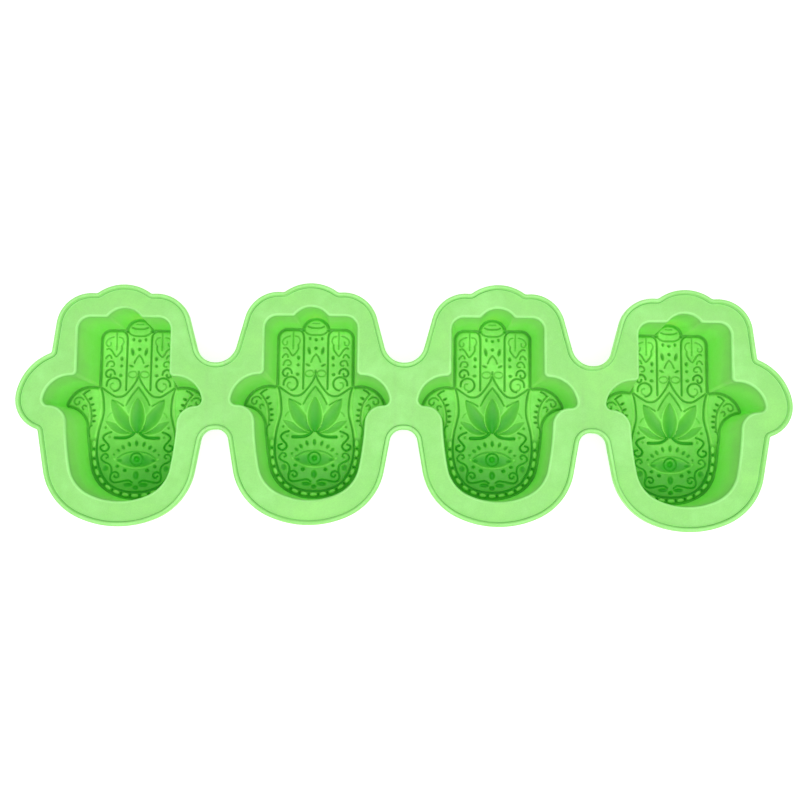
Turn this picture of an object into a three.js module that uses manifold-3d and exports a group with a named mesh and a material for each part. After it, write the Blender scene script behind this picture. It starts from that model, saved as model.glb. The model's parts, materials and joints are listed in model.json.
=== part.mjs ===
// A silicone soap mould: a strip of four hand-shaped cups that hang from one thin flange.
// Units are millimetres. +X runs along the strip, +Y points to the fingertips and +Z is up.
// The origin is the centre of the footprint, on the plane that the four cup floors stand on.
//
// The real object is one moulding. Here it is divided into its working regions: a flange collar, a side
// wall and a floor for each cup, and the three narrow webs that flex between neighbouring collars.
import * as THREE from "three";
import { mergeVertices } from "three/addons/utils/BufferGeometryUtils.js";
import Module from "manifold-3d";

// ---- driving dimensions -------------------------------------------------------------------------
const CUPS = 4;
const PITCH = 72.75; // cup centre to cup centre
const HEIGHT = 28; // resting plane to the flat top of the flange
const FLOOR = 3; // thickness of a cup's floor
const FLANGE = 2.6; // thickness of the flange
const WALL = 1.8; // thickness of a cup's side wall
const DRAFT = 1.3; // how much smaller the cup is at its floor than at its mouth, on each side
const RIM_WIDTH = 1.5; // raised rim around the flange's outer edge
const RIM_RISE = 1.6; // how far the rim stands above the flat of the flange
const WEB_LENGTH = 6.9; // flexible strip between two collars, along X
const GAP = 0.3; // between regions that the moulding joins
const ARC_STEP = 16; // degrees of arc for each straight facet

// The hand, seen from above. Each radius belongs to one arc of the cup's mouth.
const PALM = { bottomY: -37.5, bottomR: 27, cornerR: 14, sideR: 120, cornerFrom: -65, cornerTo: -11 };
const THUMB = { x: 20, y: 0, r: 10.9, tipR: 2.3, tipAt: 10, creaseR: 7 };
const ARMPIT_R = 2;
const FINGERS = { halfWidth: 18, topY: 33.9, cornerR: 4.8 };
const MIDDLE = { y: 29.4, r: 8, notchR: 1.5 };

// The flange's outer edge around one hand.
const EDGE = {
  bottomR: 36.6,
  cornerR: 24,
  palmLean: 10, // degrees that the edge beside the palm leans out
  lobe: 10, // width of the flange around an outer thumb
  shoulder: { x: 12.6, y: 29.6, r: 13.5 },
  middle: 9.2, // width of the flange beyond the middle finger
  notchR: 2,
  cornerNotchR: 1,
  webLean: 15, // degrees that the edge beside the fingers leans towards a web
  endLean: 7, // the same on an outer side
  webTop: 15.8,
  webTopR: 7.8,
  webBottom: -10.2,
  webBottomR: 5,
};
const SHIFT_Y = -(EDGE.middle + MIDDLE.y + MIDDLE.r + PALM.bottomY + PALM.bottomR - EDGE.bottomR) / 2;

// Relief on a cup's floor, cut down into it.
const RELIEF = {
  depth: 0.7,
  fingerLineX: 4.9, // the two lines that part the three fingers
  fingerLineWidth: 0.7,
  fingerLineFrom: 7.5,
  fingerLineTo: 31,
  eye: { y: -20.3, halfWidth: 8.4, halfHeight: 3.4, irisR: 2.3 },
};
const LOTUS = { x: 0, y: -9.2 }; // the point that the petals grow from
// Each petal points away from that point: its direction in degrees, where it starts, its length and width.
const PETALS = [
  { at: 90, start: 1, length: 16, width: 5.6 },
  { at: 52, start: 3.4, length: 13, width: 4.8 },
  { at: 128, start: 3.4, length: 13, width: 4.8 },
  { at: 18, start: 4.6, length: 9, width: 3.8 },
  { at: 162, start: 4.6, length: 9, width: 3.8 },
  { at: -15, start: 1.2, length: 8.4, width: 2.2 },
  { at: 195, start: 1.2, length: 8.4, width: 2.2 },
];

// ---- outlines made of tangent arcs --------------------------------------------------------------
// An arc is { x, y, r, from, to } in degrees. It is convex when it turns anticlockwise (to > from) and
// hollow when it turns clockwise. Moving an outline outwards by d makes convex arcs d larger and hollow
// ones d smaller, about the same centres, so tangent arcs stay tangent.
const cos = (degrees) => Math.cos(THREE.MathUtils.degToRad(degrees));
const sin = (degrees) => Math.sin(THREE.MathUtils.degToRad(degrees));
const angleTo = (a, b) => THREE.MathUtils.radToDeg(Math.atan2(b.y - a.y, b.x - a.x));

function pointsOf(arcs, out) {
  const points = [];
  for (const { x, y, r, from, to } of arcs) {
    const radius = r + (to > from ? out : -out);
    const steps = Math.max(2, Math.ceil(Math.abs(to - from) / ARC_STEP));
    for (let i = 0; i <= steps; i++) {
      const at = from + ((to - from) * i) / steps;
      points.push(new THREE.Vector2(x + radius * cos(at), y + radius * sin(at)));
    }
  }
  return points;
}

// Where the circle about a with radius ra meets the circle about b with radius rb, on the left of a to b.
function meet(a, ra, b, rb) {
  const d = Math.hypot(b.x - a.x, b.y - a.y);
  const along = (ra * ra - rb * rb + d * d) / (2 * d);
  const across = Math.sqrt(ra * ra - along * along);
  const [ux, uy] = [(b.x - a.x) / d, (b.y - a.y) / d];
  return { x: a.x + along * ux - across * uy, y: a.y + along * uy + across * ux };
}

const mirrored = (points) => points.map((p) => new THREE.Vector2(-p.x, p.y)).reverse();

function withoutRepeats(points) {
  return points.filter((p, i) => p.distanceTo(points[(i + 1) % points.length]) > 1e-4);
}

// The right half of a cup's mouth, from the middle of the palm's lower edge to the middle fingertip.
// The two small hollow corners, at the thumb's root and beside the middle finger, get soften more radius.
function handArcs(soften = 0) {
  const bottom = { x: 0, y: PALM.bottomY + PALM.bottomR, r: PALM.bottomR, from: -90, to: PALM.cornerFrom };
  const cornerIn = PALM.bottomR - PALM.cornerR;
  const corner = {
    x: cornerIn * cos(PALM.cornerFrom),
    y: bottom.y + cornerIn * sin(PALM.cornerFrom),
    r: PALM.cornerR,
    from: PALM.cornerFrom,
    to: PALM.cornerTo,
  };
  const sideIn = PALM.sideR - PALM.cornerR;
  const side = {
    x: corner.x - sideIn * cos(PALM.cornerTo),
    y: corner.y - sideIn * sin(PALM.cornerTo),
    r: PALM.sideR,
    from: PALM.cornerTo,
  };
  const tipIn = THUMB.r - THUMB.tipR;
  const tip = { x: THUMB.x + tipIn * cos(THUMB.tipAt), y: THUMB.y + tipIn * sin(THUMB.tipAt), r: THUMB.tipR };
  const fromSide = PALM.sideR + THUMB.creaseR;
  const fromTip = THUMB.tipR + THUMB.creaseR;
  const crossings = [meet(side, fromSide, tip, fromTip), meet(tip, fromTip, side, fromSide)];
  const crease = { ...crossings.reduce((a, b) => (a.y < b.y ? a : b)), r: THUMB.creaseR };
  side.to = angleTo(side, crease);
  crease.from = 180 + side.to;
  crease.to = angleTo(crease, tip);
  tip.from = crease.to - 180;
  tip.to = THUMB.tipAt;
  const armpitR = ARMPIT_R + soften;
  const armpit = { x: FINGERS.halfWidth + armpitR, r: armpitR, to: 180 };
  armpit.y = THUMB.y + Math.sqrt((THUMB.r + armpitR) ** 2 - (armpit.x - THUMB.x) ** 2);
  const thumb = { ...THUMB, from: THUMB.tipAt, to: angleTo(THUMB, armpit) };
  armpit.from = 180 + thumb.to;
  const shoulder = {
    x: FINGERS.halfWidth - FINGERS.cornerR,
    y: FINGERS.topY - FINGERS.cornerR,
    r: FINGERS.cornerR,
    from: 0,
    to: 90,
  };
  const middle = { x: 0, y: MIDDLE.y, r: MIDDLE.r };
  const notchR = MIDDLE.notchR + soften;
  const rise = FINGERS.topY + notchR - MIDDLE.y;
  const notch = { x: Math.sqrt((MIDDLE.r + notchR) ** 2 - rise ** 2), y: MIDDLE.y + rise, r: notchR };
  middle.from = angleTo(middle, notch);
  middle.to = 90;
  notch.from = 270;
  notch.to = 180 + middle.from;
  return [bottom, corner, side, crease, tip, thumb, armpit, shoulder, notch, middle];
}

// The closed outline of a cup, moved outwards by out from its mouth.
function handOutline(out, soften = 0) {
  const right = pointsOf(handArcs(soften), out);
  return withoutRepeats([...right, ...mirrored(right)]);
}

// The flange's edge beside the palm: the arc under it, and the corner where the edge turns up.
function palmEdgeArcs() {
  const bottom = { x: 0, y: PALM.bottomY + PALM.bottomR, r: EDGE.bottomR, from: -90, to: PALM.cornerFrom };
  const inwards = EDGE.bottomR - EDGE.cornerR;
  const corner = {
    x: inwards * cos(PALM.cornerFrom),
    y: bottom.y + inwards * sin(PALM.cornerFrom),
    r: EDGE.cornerR,
    from: PALM.cornerFrom,
    to: -EDGE.palmLean,
  };
  return [bottom, corner];
}

// The flange's edge around the fingertips, from the shoulder, where it leaves a side that leans by lean.
function fingerEdgeArcs(lean) {
  const shoulder = { ...EDGE.shoulder, from: lean };
  const middle = { x: 0, y: MIDDLE.y, r: MIDDLE.r + EDGE.middle, to: 90 };
  const fromShoulder = shoulder.r + EDGE.notchR;
  const fromMiddle = middle.r + EDGE.notchR;
  const crossings = [
    meet(shoulder, fromShoulder, middle, fromMiddle),
    meet(middle, fromMiddle, shoulder, fromShoulder),
  ];
  const notch = { ...crossings.reduce((a, b) => (a.y > b.y ? a : b)), r: EDGE.notchR };
  shoulder.to = angleTo(shoulder, notch);
  notch.from = 180 + shoulder.to;
  middle.from = angleTo(middle, notch);
  notch.to = 180 + middle.from;
  return [shoulder, notch, middle];
}

// The centre, at height y, of a hollow arc of radius r that touches the leaning line which leaves the
// convex arc at its angle a.
function filletCentre(arc, a, y, r) {
  return { x: arc.x + (arc.r + r - (y - arc.y) * sin(a)) / cos(a), y };
}

// The flange's edge on a side with a web, up to the middle of that web: [below it, above it].
function webSideArcs() {
  const palm = palmEdgeArcs();
  const fingers = fingerEdgeArcs(EDGE.webLean);
  const lowY = EDGE.webBottom - EDGE.webBottomR;
  const low = filletCentre(palm[1], -EDGE.palmLean, lowY, EDGE.webBottomR);
  const highY = EDGE.webTop + EDGE.webTopR;
  const high = filletCentre(fingers[0], EDGE.webLean, highY, EDGE.webTopR);
  return [
    [...palm, { ...low, r: EDGE.webBottomR, from: 180 - EDGE.palmLean, to: 90 }],
    [{ ...high, r: EDGE.webTopR, from: 270, to: 180 + EDGE.webLean }, ...fingers],
  ];
}

// The flange's edge on an outer side, where it runs round the thumb in a lobe.
function endSideArcs() {
  const palm = palmEdgeArcs();
  const fingers = fingerEdgeArcs(EDGE.endLean);
  const [, , , , tipArc] = handArcs();
  const thumb = { ...THUMB, r: THUMB.r + EDGE.lobe, from: THUMB.tipAt };
  const tip = { ...tipArc, r: THUMB.tipR + EDGE.lobe, to: THUMB.tipAt };
  const low = lineNotch(palm[1], -EDGE.palmLean, tip, -1);
  const high = lineNotch(fingers[0], EDGE.endLean, thumb, 1);
  tip.from = angleTo(tip, low);
  thumb.to = angleTo(thumb, high);
  const r = EDGE.cornerNotchR;
  return [
    ...palm,
    { ...low, r, from: 180 - EDGE.palmLean, to: 180 + tip.from },
    tip,
    thumb,
    { ...high, r, from: 180 + thumb.to, to: 180 + EDGE.endLean },
    ...fingers,
  ];
}

// The centre of the small hollow arc in the notch between a lobe's arc and the leaning line that leaves
// the convex arc at its angle a. The side is 1 where the notch is above the lobe, or -1 below it.
function lineNotch(arc, a, lobe, side) {
  const r = EDGE.cornerNotchR;
  const across = arc.r + r;
  const start = { x: arc.x + across * cos(a), y: arc.y + across * sin(a) };
  const [ux, uy] = [-sin(a), cos(a)];
  const [dx, dy] = [start.x - lobe.x, start.y - lobe.y];
  const b = dx * ux + dy * uy;
  const c = dx * dx + dy * dy - (lobe.r + r) ** 2;
  const along = -b + side * Math.sqrt(b * b - c);
  return { x: start.x + along * ux, y: start.y + along * uy };
}

// The closed outline of the whole flange, moved inwards by inset from its outer edge.
function flangeOutline(inset) {
  const [low, high] = webSideArcs().map((arcs) => pointsOf(arcs, -inset));
  const end = pointsOf(endSideArcs(), -inset);
  const at = (points, cup) => points.map((p) => new THREE.Vector2(p.x + cupX(cup), p.y));
  const points = [];
  for (let cup = 0; cup < CUPS; cup++) {
    if (cup > 0) points.push(...at(mirrored(low), cup));
    points.push(...at(cup < CUPS - 1 ? low : end, cup));
  }
  for (let cup = CUPS - 1; cup >= 0; cup--) {
    if (cup < CUPS - 1) points.push(...at(high, cup));
    points.push(...at(mirrored(cup > 0 ? high : end), cup));
  }
  return withoutRepeats(points);
}

const cupX = (cup) => (cup - (CUPS - 1) / 2) * PITCH;

// ---- solids -------------------------------------------------------------------------------------
const wasm = await Module();
wasm.setup();

function solid(geometry) {
  const bare = (geometry.index ? geometry.toNonIndexed() : geometry).clone();
  bare.deleteAttribute("normal");
  bare.deleteAttribute("uv");
  const merged = mergeVertices(bare, 1e-4);
  const mesh = new wasm.Mesh({
    numProp: 3,
    vertProperties: merged.attributes.position.array,
    triVerts: new Uint32Array(merged.index.array),
  });
  return new wasm.Manifold(mesh);
}

function geometryOf(manifold) {
  const mesh = manifold.getMesh();
  const geometry = new THREE.BufferGeometry();
  geometry.setAttribute("position", new THREE.BufferAttribute(mesh.vertProperties, 3));
  geometry.setIndex(new THREE.BufferAttribute(mesh.triVerts, 1));
  const flat = geometry.toNonIndexed();
  flat.computeVertexNormals();
  return flat;
}

function extruded(outline, low, high) {
  const shape = new THREE.Shape(outline);
  return new THREE.ExtrudeGeometry(shape, { depth: high - low, bevelEnabled: false }).translate(0, 0, low);
}

// A solid between two outlines with the same number of points, one at height low and one at height high.
function lofted(lowOutline, low, highOutline, high) {
  const n = lowOutline.length;
  const positions = [];
  for (const p of lowOutline) positions.push(p.x, p.y, low);
  for (const p of highOutline) positions.push(p.x, p.y, high);
  const index = [];
  for (const [a, b, c] of THREE.ShapeUtils.triangulateShape(lowOutline, [])) index.push(c, b, a);
  for (const [a, b, c] of THREE.ShapeUtils.triangulateShape(highOutline, [])) index.push(a + n, b + n, c + n);
  for (let i = 0; i < n; i++) {
    const j = (i + 1) % n;
    index.push(i, j, j + n, i, j + n, i + n);
  }
  const geometry = new THREE.BufferGeometry();
  geometry.setAttribute("position", new THREE.Float32BufferAttribute(positions, 3));
  geometry.setIndex(index);
  return geometry;
}

// How far a cup's inner face has drawn in at height z.
const drawnIn = (z) => (DRAFT * (HEIGHT - z)) / (HEIGHT - FLOOR);

// The space inside a cup, or its outer body when a wall's thickness is added, between two heights. The
// small hollow corners are softened by that thickness, so the wall is a little thicker there.
function cupBody(thickness, low, high) {
  const outline = (z) => handOutline(thickness - drawnIn(z), thickness);
  return lofted(outline(low), low, outline(high), high);
}

function flangeBlank() {
  const slab = solid(extruded(flangeOutline(0), HEIGHT - FLANGE, HEIGHT + RIM_RISE));
  const insideRim = solid(extruded(flangeOutline(RIM_WIDTH), HEIGHT, HEIGHT + RIM_RISE + 1));
  return slab.subtract(insideRim);
}

// A box across the strip that is long enough to cut any region out of the flange.
function slice(fromX, toX) {
  const box = new THREE.BoxGeometry(toX - fromX, PITCH * 2, HEIGHT * 2);
  return solid(box.translate((fromX + toX) / 2, 0, HEIGHT));
}

function collar(blank, cup) {
  const reach = (PITCH - WEB_LENGTH) / 2;
  const left = cupX(cup) - (cup > 0 ? reach : PITCH);
  const right = cupX(cup) + (cup < CUPS - 1 ? reach : PITCH);
  const mouth = cupBody(0, HEIGHT - FLANGE - 1, HEIGHT + 1).translate(cupX(cup), 0, 0);
  return blank.intersect(slice(left, right)).subtract(solid(mouth));
}

function web(blank, cup) {
  const middle = cupX(cup) + PITCH / 2;
  const half = WEB_LENGTH / 2 - GAP;
  return blank.intersect(slice(middle - half, middle + half));
}

function cupWall() {
  const low = FLOOR + GAP;
  const high = HEIGHT - FLANGE - GAP;
  return solid(cupBody(WALL, low, high)).subtract(solid(cupBody(0, low - 1, high + 1)));
}

// A pointed leaf about the X axis, from x = 0 to x = length.
function leafOutline(length, width) {
  const half = new THREE.QuadraticBezierCurve(
    new THREE.Vector2(0, 0),
    new THREE.Vector2(length * 0.45, width),
    new THREE.Vector2(length, 0),
  ).getPoints(5);
  const back = half.slice(1, -1).map((p) => new THREE.Vector2(p.x, -p.y));
  return [...half.reverse(), ...back];
}

function reliefCuts() {
  const top = FLOOR + 1;
  const bottom = FLOOR - RELIEF.depth;
  const cuts = [];
  for (const { at, start, length, width } of PETALS) {
    const petal = extruded(leafOutline(length, width), bottom, top).translate(start, 0, 0);
    petal.rotateZ(THREE.MathUtils.degToRad(at)).translate(LOTUS.x, LOTUS.y, 0);
    cuts.push(solid(petal));
  }
  const lineLength = RELIEF.fingerLineTo - RELIEF.fingerLineFrom;
  for (const side of [-1, 1]) {
    const line = new THREE.BoxGeometry(RELIEF.fingerLineWidth, lineLength, top - bottom);
    line.translate(side * RELIEF.fingerLineX, RELIEF.fingerLineFrom + lineLength / 2, (top + bottom) / 2);
    cuts.push(solid(line));
  }
  const { y, halfWidth, halfHeight, irisR } = RELIEF.eye;
  const almond = extruded(leafOutline(halfWidth * 2, halfHeight * 2), bottom, top);
  almond.translate(-halfWidth, y, 0);
  const iris = new THREE.CylinderGeometry(irisR, irisR, top - bottom + 2, 20).rotateX(Math.PI / 2);
  cuts.push(solid(almond).subtract(solid(iris.translate(0, y, (top + bottom) / 2))));
  return cuts;
}

function cupFloor() {
  const plate = solid(cupBody(WALL, 0, FLOOR));
  return reliefCuts().reduce((floor, cut) => floor.subtract(cut), plate);
}

// ---- the model ----------------------------------------------------------------------------------
const silicone = new THREE.MeshStandardMaterial({ color: 0x7fe05a, roughness: 0.45, metalness: 0 });

function part(name, manifold, x = 0) {
  const mesh = new THREE.Mesh(geometryOf(manifold), silicone);
  mesh.name = name;
  mesh.position.x = x;
  return mesh;
}

function mould() {
  const group = new THREE.Group();
  const blank = flangeBlank();
  const wall = cupWall();
  const floor = cupFloor();
  for (let cup = 0; cup < CUPS; cup++) {
    const number = cup + 1;
    group.add(part(`flange_${number}`, collar(blank, cup)));
    group.add(part(`cup_wall_${number}`, wall, cupX(cup)));
    group.add(part(`cup_floor_${number}`, floor, cupX(cup)));
    if (number < CUPS) group.add(part(`web_${number}_${number + 1}`, web(blank, cup)));
  }
  group.position.y = SHIFT_Y;
  return group;
}

export default mould();
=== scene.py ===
"""A silicone soap mould: four hand-shaped cups that hang from one thin flange with a raised rim.

Every cup is one closed skin of silicone, with the relief of its floor as real geometry, and rides the
CAD body of that cup. The webs between the cups are skins of their own.
Outlines and sections are in millimetres, in a frame whose origin is the middle of a cup at table height.
"""

import json
import math

import bpy
import numpy as np
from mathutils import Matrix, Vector
from mathutils.geometry import delaunay_2d_cdt

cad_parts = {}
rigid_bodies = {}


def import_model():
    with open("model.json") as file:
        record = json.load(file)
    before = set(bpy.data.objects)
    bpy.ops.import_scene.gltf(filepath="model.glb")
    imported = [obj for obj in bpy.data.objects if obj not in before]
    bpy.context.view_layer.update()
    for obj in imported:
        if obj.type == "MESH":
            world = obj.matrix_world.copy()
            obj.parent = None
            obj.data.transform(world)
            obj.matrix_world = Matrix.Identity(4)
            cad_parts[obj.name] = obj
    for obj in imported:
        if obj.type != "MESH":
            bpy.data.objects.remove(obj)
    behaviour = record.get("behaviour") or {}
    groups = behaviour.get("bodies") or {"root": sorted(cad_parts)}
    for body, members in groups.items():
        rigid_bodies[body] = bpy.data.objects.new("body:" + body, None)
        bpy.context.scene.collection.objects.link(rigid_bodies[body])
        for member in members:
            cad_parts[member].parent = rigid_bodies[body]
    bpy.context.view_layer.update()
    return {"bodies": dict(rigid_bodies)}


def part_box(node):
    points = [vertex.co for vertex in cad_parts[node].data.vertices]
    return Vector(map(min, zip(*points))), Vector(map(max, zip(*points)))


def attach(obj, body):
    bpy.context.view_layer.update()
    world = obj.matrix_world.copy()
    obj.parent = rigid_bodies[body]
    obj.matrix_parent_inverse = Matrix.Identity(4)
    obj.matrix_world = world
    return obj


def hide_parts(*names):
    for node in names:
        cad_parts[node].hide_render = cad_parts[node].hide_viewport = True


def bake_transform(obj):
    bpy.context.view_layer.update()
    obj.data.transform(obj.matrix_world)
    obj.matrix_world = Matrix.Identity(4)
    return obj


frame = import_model()

MM = 0.001
CUPS = len(frame["bodies"])  # a body for each cup

# ---- sizes read from the frame, in mm -----------------------------------------------------------


def box_mm(node):
    """The low and the high corner of a CAD node's box."""
    return [np.array(corner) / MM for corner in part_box(node)]


FLOOR_BOXES = [box_mm(f"cup_floor_{cup + 1}") for cup in range(CUPS)]
FLANGE_BOX = box_mm("flange_1")
CUP_X = [(low[0] + high[0]) / 2 for low, high in FLOOR_BOXES]
PITCH = (CUP_X[-1] - CUP_X[0]) / (CUPS - 1)
FLOOR_Z = FLOOR_BOXES[0][1][2]
UNDERSIDE_Z = FLANGE_BOX[0][2]
RIM_RISE = 1.6
PLATE_Z = FLANGE_BOX[1][2] - RIM_RISE
WEB_BOX = box_mm("web_2_3")
CAD_GAP = 0.3  # between a web and the flanges, which the skins close
CUT = PITCH / 2 - (WEB_BOX[1][0] - WEB_BOX[0][0]) / 2 - CAD_GAP  # from a cup's middle to where a web starts

# ---- the hand's outline, in arcs ----------------------------------------------------------------

STEP = 0.5  # spacing of points along an outline
ARC_STEPS = 3  # the fewest steps on an arc
TOUCHING = 0.01  # two arcs nearer than this have no straight piece between them
# The outlines of a cup's mouth and of its floor: the places and radii of their arcs, and the directions
# at which one arc passes into the next, from the palm's lower edge up to the middle finger.
MOUTH = {
    "bottom_y": -37.5, "bottom_r": 27, "corner_r": 14, "side_r": 120, "corner_from": -65, "side_from": -11,
    "thumb": (20, 0), "thumb_r": 10.9, "tip_r": 2.3, "tip_at": 10, "crease_r": 7, "armpit_r": 2,
    "half": 18, "top_y": 33.9, "shoulder_r": 4.8, "notch_r": 1.5, "middle_y": 29.4, "middle_r": 8,
}
FLOOR = {
    "bottom_y": -37.1, "bottom_r": 22, "corner_r": 15.3, "side_r": 120, "corner_from": -59.5,
    "side_from": -11.3, "thumb": (18.8, -1.3), "thumb_r": 10.75, "tip_r": 1.1, "tip_at": 16,
    "crease_r": 8.7, "armpit_r": 0.6, "half": 16, "top_y": 33, "shoulder_r": 4.3, "notch_r": 0.25,
    "middle_y": 31.6, "middle_r": 5.9,
}
# The flange's outer edge. lobe and middle are distances from the mouth, and the leans are those of the
# straight pieces, in degrees from the y axis.
EDGE = {
    "bottom_r": 36.6, "corner_r": 24, "palm_lean": 10, "lobe": 10, "shoulder": (12.6, 29.6),
    "shoulder_r": 13.5, "middle": 9.2, "notch_r": 2, "corner_notch_r": 1, "web_lean": 15, "end_lean": 7,
    "web_top": 15.8, "web_top_r": 7.8, "web_bottom": -10.2, "web_bottom_r": 5,
}
SHIFT_Y = FLANGE_BOX[1][1] - (MOUTH["middle_y"] + MOUTH["middle_r"] + EDGE["middle"])  # of a cup's origin


def polar(centre, r, degrees):
    """The point of a circle at an angle from the x axis."""
    a = math.radians(degrees)
    return centre[0] + r * math.cos(a), centre[1] + r * math.sin(a)


def angle_to(a, b):
    """The direction from a to b, in degrees."""
    return math.degrees(math.atan2(b[1] - a[1], b[0] - a[0]))


def meet(a, ra, b, rb):
    """Where the circle about a meets the circle about b, on the left of a to b."""
    dx, dy = b[0] - a[0], b[1] - a[1]
    d = math.hypot(dx, dy)
    along = (ra * ra - rb * rb + d * d) / (2 * d)
    across = math.sqrt(ra * ra - along * along)
    return a[0] + (along * dx - across * dy) / d, a[1] + (along * dy + across * dx) / d


def hand_arcs(shape=MOUTH, soften=0.0):
    """The right half of a hand as (centre, radius, from, to), from the palm's lower edge to the middle
    fingertip. The two small hollow corners get soften more radius."""
    bottom = (0, shape["bottom_y"] + shape["bottom_r"])
    corner = polar(bottom, shape["bottom_r"] - shape["corner_r"], shape["corner_from"])
    side_r = shape["side_r"]
    side = polar(corner, shape["corner_r"] - side_r, shape["side_from"])
    thumb, thumb_r, tip_r, crease_r = (shape[key] for key in ("thumb", "thumb_r", "tip_r", "crease_r"))
    tip = polar(thumb, thumb_r - tip_r, shape["tip_at"])
    crossings = (
        meet(side, side_r + crease_r, tip, tip_r + crease_r),
        meet(tip, tip_r + crease_r, side, side_r + crease_r),
    )
    crease = min(crossings, key=lambda p: p[1])
    side_to = angle_to(side, crease)
    crease_to = angle_to(crease, tip)
    armpit_r = shape["armpit_r"] + soften
    armpit_x = shape["half"] + armpit_r
    armpit = (armpit_x, thumb[1] + math.sqrt((thumb_r + armpit_r) ** 2 - (armpit_x - thumb[0]) ** 2))
    thumb_to = angle_to(thumb, armpit)
    shoulder = (shape["half"] - shape["shoulder_r"], shape["top_y"] - shape["shoulder_r"])
    middle, middle_r = (0, shape["middle_y"]), shape["middle_r"]
    notch_r = shape["notch_r"] + soften
    rise = shape["top_y"] + notch_r - shape["middle_y"]
    notch = (math.sqrt((middle_r + notch_r) ** 2 - rise**2), shape["middle_y"] + rise)
    middle_from = angle_to(middle, notch)
    return [
        (bottom, shape["bottom_r"], -90, shape["corner_from"]),
        (corner, shape["corner_r"], shape["corner_from"], shape["side_from"]),
        (side, side_r, shape["side_from"], side_to),
        (crease, crease_r, 180 + side_to, crease_to),
        (tip, tip_r, crease_to - 180, shape["tip_at"]),
        (thumb, thumb_r, shape["tip_at"], thumb_to),
        (armpit, armpit_r, 180 + thumb_to, 180),
        (shoulder, shape["shoulder_r"], 0, 90),
        (notch, notch_r, 270, 180 + middle_from),
        (middle, middle_r, middle_from, 90),
    ]


TIP_ARC = 4  # the place of the thumb's tip in the list that hand_arcs gives


def plan_of(arcs):
    """How many steps each arc and the straight piece before it get, so that every offset gets the same."""
    plan = []
    last = None
    for centre, r, a0, a1 in arcs:
        start = polar(centre, r, a0)
        gap = math.dist(start, last) if last else 0
        gap_steps = max(1, round(gap / STEP)) if gap > TOUCHING else 0
        arc_steps = max(ARC_STEPS, round(r * math.radians(abs(a1 - a0)) / STEP))
        plan.append((gap_steps, arc_steps))
        last = polar(centre, r, a1)
    return plan


def between(a, b, steps):
    """The points that part the line from a to b into steps pieces."""
    return [(a[0] + (b[0] - a[0]) * k / steps, a[1] + (b[1] - a[1]) * k / steps) for k in range(1, steps)]


def trace(arcs, out, plan, cut_first=None, cut_last=None):
    """Points along tangent arcs moved outwards by out. cut_first and cut_last are the x at which the
    first arc starts and the last one ends, for the hollow arcs that run into a web."""
    points = []
    for i, ((centre, r, a0, a1), (gap_steps, steps)) in enumerate(zip(arcs, plan)):
        radius = r + (out if a1 > a0 else -out)
        if cut_first is not None and i == 0:
            a0 = 360 - math.degrees(math.acos((cut_first - centre[0]) / radius))
        if cut_last is not None and i == len(arcs) - 1:
            a1 = math.degrees(math.acos((cut_last - centre[0]) / radius))
        start = polar(centre, radius, a0)
        if gap_steps and points:
            points += between(points[-1], start, gap_steps)
        if gap_steps or not points:
            points.append(start)
        points += [polar(centre, radius, a0 + (a1 - a0) * k / steps) for k in range(1, steps + 1)]
    return np.array(points)


HAND_PLAN = plan_of(hand_arcs())


def both_halves(right):
    """A closed ring from its right half, which starts and ends at x = 0."""
    return np.vstack([right, right[-2:0:-1] * (-1, 1)])


def hand_ring(out, soften=0.0, shape=MOUTH):
    """The closed outline of a hand, anticlockwise from the middle of the palm's lower edge."""
    return both_halves(trace(hand_arcs(shape, soften), out, HAND_PLAN))


# ---- the flange's outer edge, in arcs -----------------------------------------------------------


def palm_edge_arcs():
    """The edge below the palm, up to where a straight piece rises from it."""
    bottom = (0, MOUTH["bottom_y"] + MOUTH["bottom_r"])
    corner = polar(bottom, EDGE["bottom_r"] - EDGE["corner_r"], MOUTH["corner_from"])
    return [
        (bottom, EDGE["bottom_r"], -90, MOUTH["corner_from"]),
        (corner, EDGE["corner_r"], MOUTH["corner_from"], -EDGE["palm_lean"]),
    ]


def finger_edge_arcs(lean):
    """The edge round the fingers, from the straight piece that leans inwards by lean degrees."""
    shoulder, shoulder_r = EDGE["shoulder"], EDGE["shoulder_r"]
    middle, middle_r, r = (0, MOUTH["middle_y"]), MOUTH["middle_r"] + EDGE["middle"], EDGE["notch_r"]
    crossings = (
        meet(shoulder, shoulder_r + r, middle, middle_r + r),
        meet(middle, middle_r + r, shoulder, shoulder_r + r),
    )
    notch = max(crossings, key=lambda p: p[1])
    shoulder_to, middle_from = angle_to(shoulder, notch), angle_to(middle, notch)
    return [
        (shoulder, shoulder_r, lean, shoulder_to),
        (notch, r, 180 + shoulder_to, 180 + middle_from),
        (middle, middle_r, middle_from, 90),
    ]


def fillet_centre(arc, a, y, r):
    """The centre, at height y, of a hollow arc that touches the line leaving a convex arc at angle a."""
    (cx, cy), arc_r = arc[0], arc[1]
    x = cx + (arc_r + r - (y - cy) * math.sin(math.radians(a))) / math.cos(math.radians(a))
    return x, y


def web_side_arcs():
    """The edge on a side with a web, up to the middle of that web: below it, and above it."""
    palm, fingers = palm_edge_arcs(), finger_edge_arcs(EDGE["web_lean"])
    low_r, high_r = EDGE["web_bottom_r"], EDGE["web_top_r"]
    low = fillet_centre(palm[-1], -EDGE["palm_lean"], EDGE["web_bottom"] - low_r, low_r)
    high = fillet_centre(fingers[0], EDGE["web_lean"], EDGE["web_top"] + high_r, high_r)
    return (
        palm + [(low, low_r, 180 - EDGE["palm_lean"], 90)],
        [(high, high_r, 270, 180 + EDGE["web_lean"])] + fingers,
    )


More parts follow.
